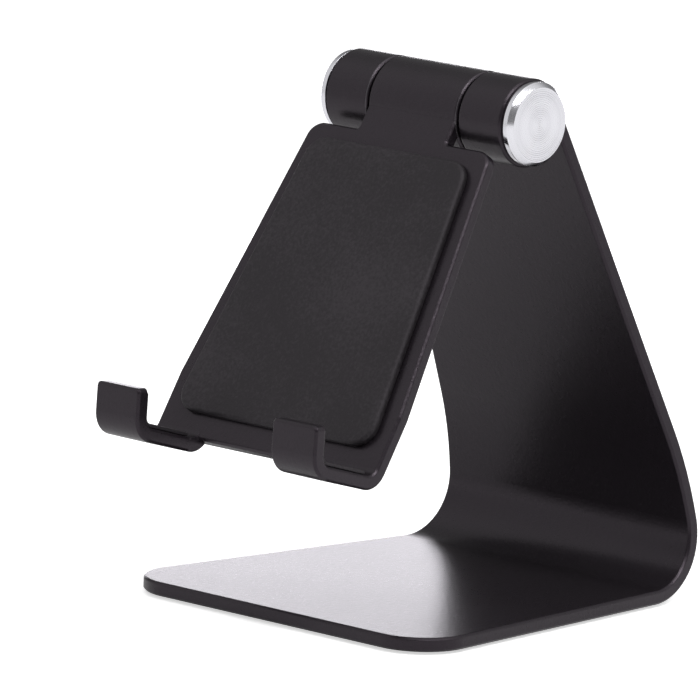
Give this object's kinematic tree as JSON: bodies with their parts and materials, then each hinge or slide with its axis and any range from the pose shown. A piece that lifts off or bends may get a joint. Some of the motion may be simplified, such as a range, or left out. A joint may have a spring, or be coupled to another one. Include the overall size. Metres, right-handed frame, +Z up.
{
  "type": "phone stand",
  "caption": "Folded aluminium desk phone stand: tapered foot, leaning arm, friction hinge barrel with turned end caps and a padded, hooked cradle that tilts.",
  "frame": {"origin": "middle of the pad that the foot rests on, at desk level", "axes": "+X along the hinge barrel to the right as seen by the user, +Y from the user towards the arm, +Z up"},
  "size_m": [0.0728, 0.0954, 0.095],
  "materials": {
    "black_anodised": "bead-blasted, satin black anodised",
    "bright_aluminium": "fine turned, clear anodised",
    "black_rubber": "matt silicone rubber",
    "steel": "zinc plated",
    "bearing_plastic": "moulded bearing plastic"
  },
  "bodies": {
    "stand": {"stand_plate": "black_anodised", "base_pad": "black_rubber", "hinge_bolt": "steel", "bolt_washer": "steel", "disc_springs": "steel", "nut_washer": "steel", "hinge_nut": "steel", "left_friction_disc": "bearing_plastic", "right_friction_disc": "bearing_plastic", "left_end_cap": "bright_aluminium", "right_end_cap": "bright_aluminium"},
    "cradle": {"cradle_plate": "black_anodised", "cradle_pad": "black_rubber", "left_hook_pad": "black_rubber", "right_hook_pad": "black_rubber", "left_bush": "bearing_plastic", "right_bush": "bearing_plastic"}
  },
  "joints": [
    {"name": "cradle_tilt", "type": "hinge", "parent": "stand", "child": "cradle", "pos_m": [0, 0.00619, 0.08721], "axis": [1, 0, 0], "range_deg": [-215, 58]}
  ]
}
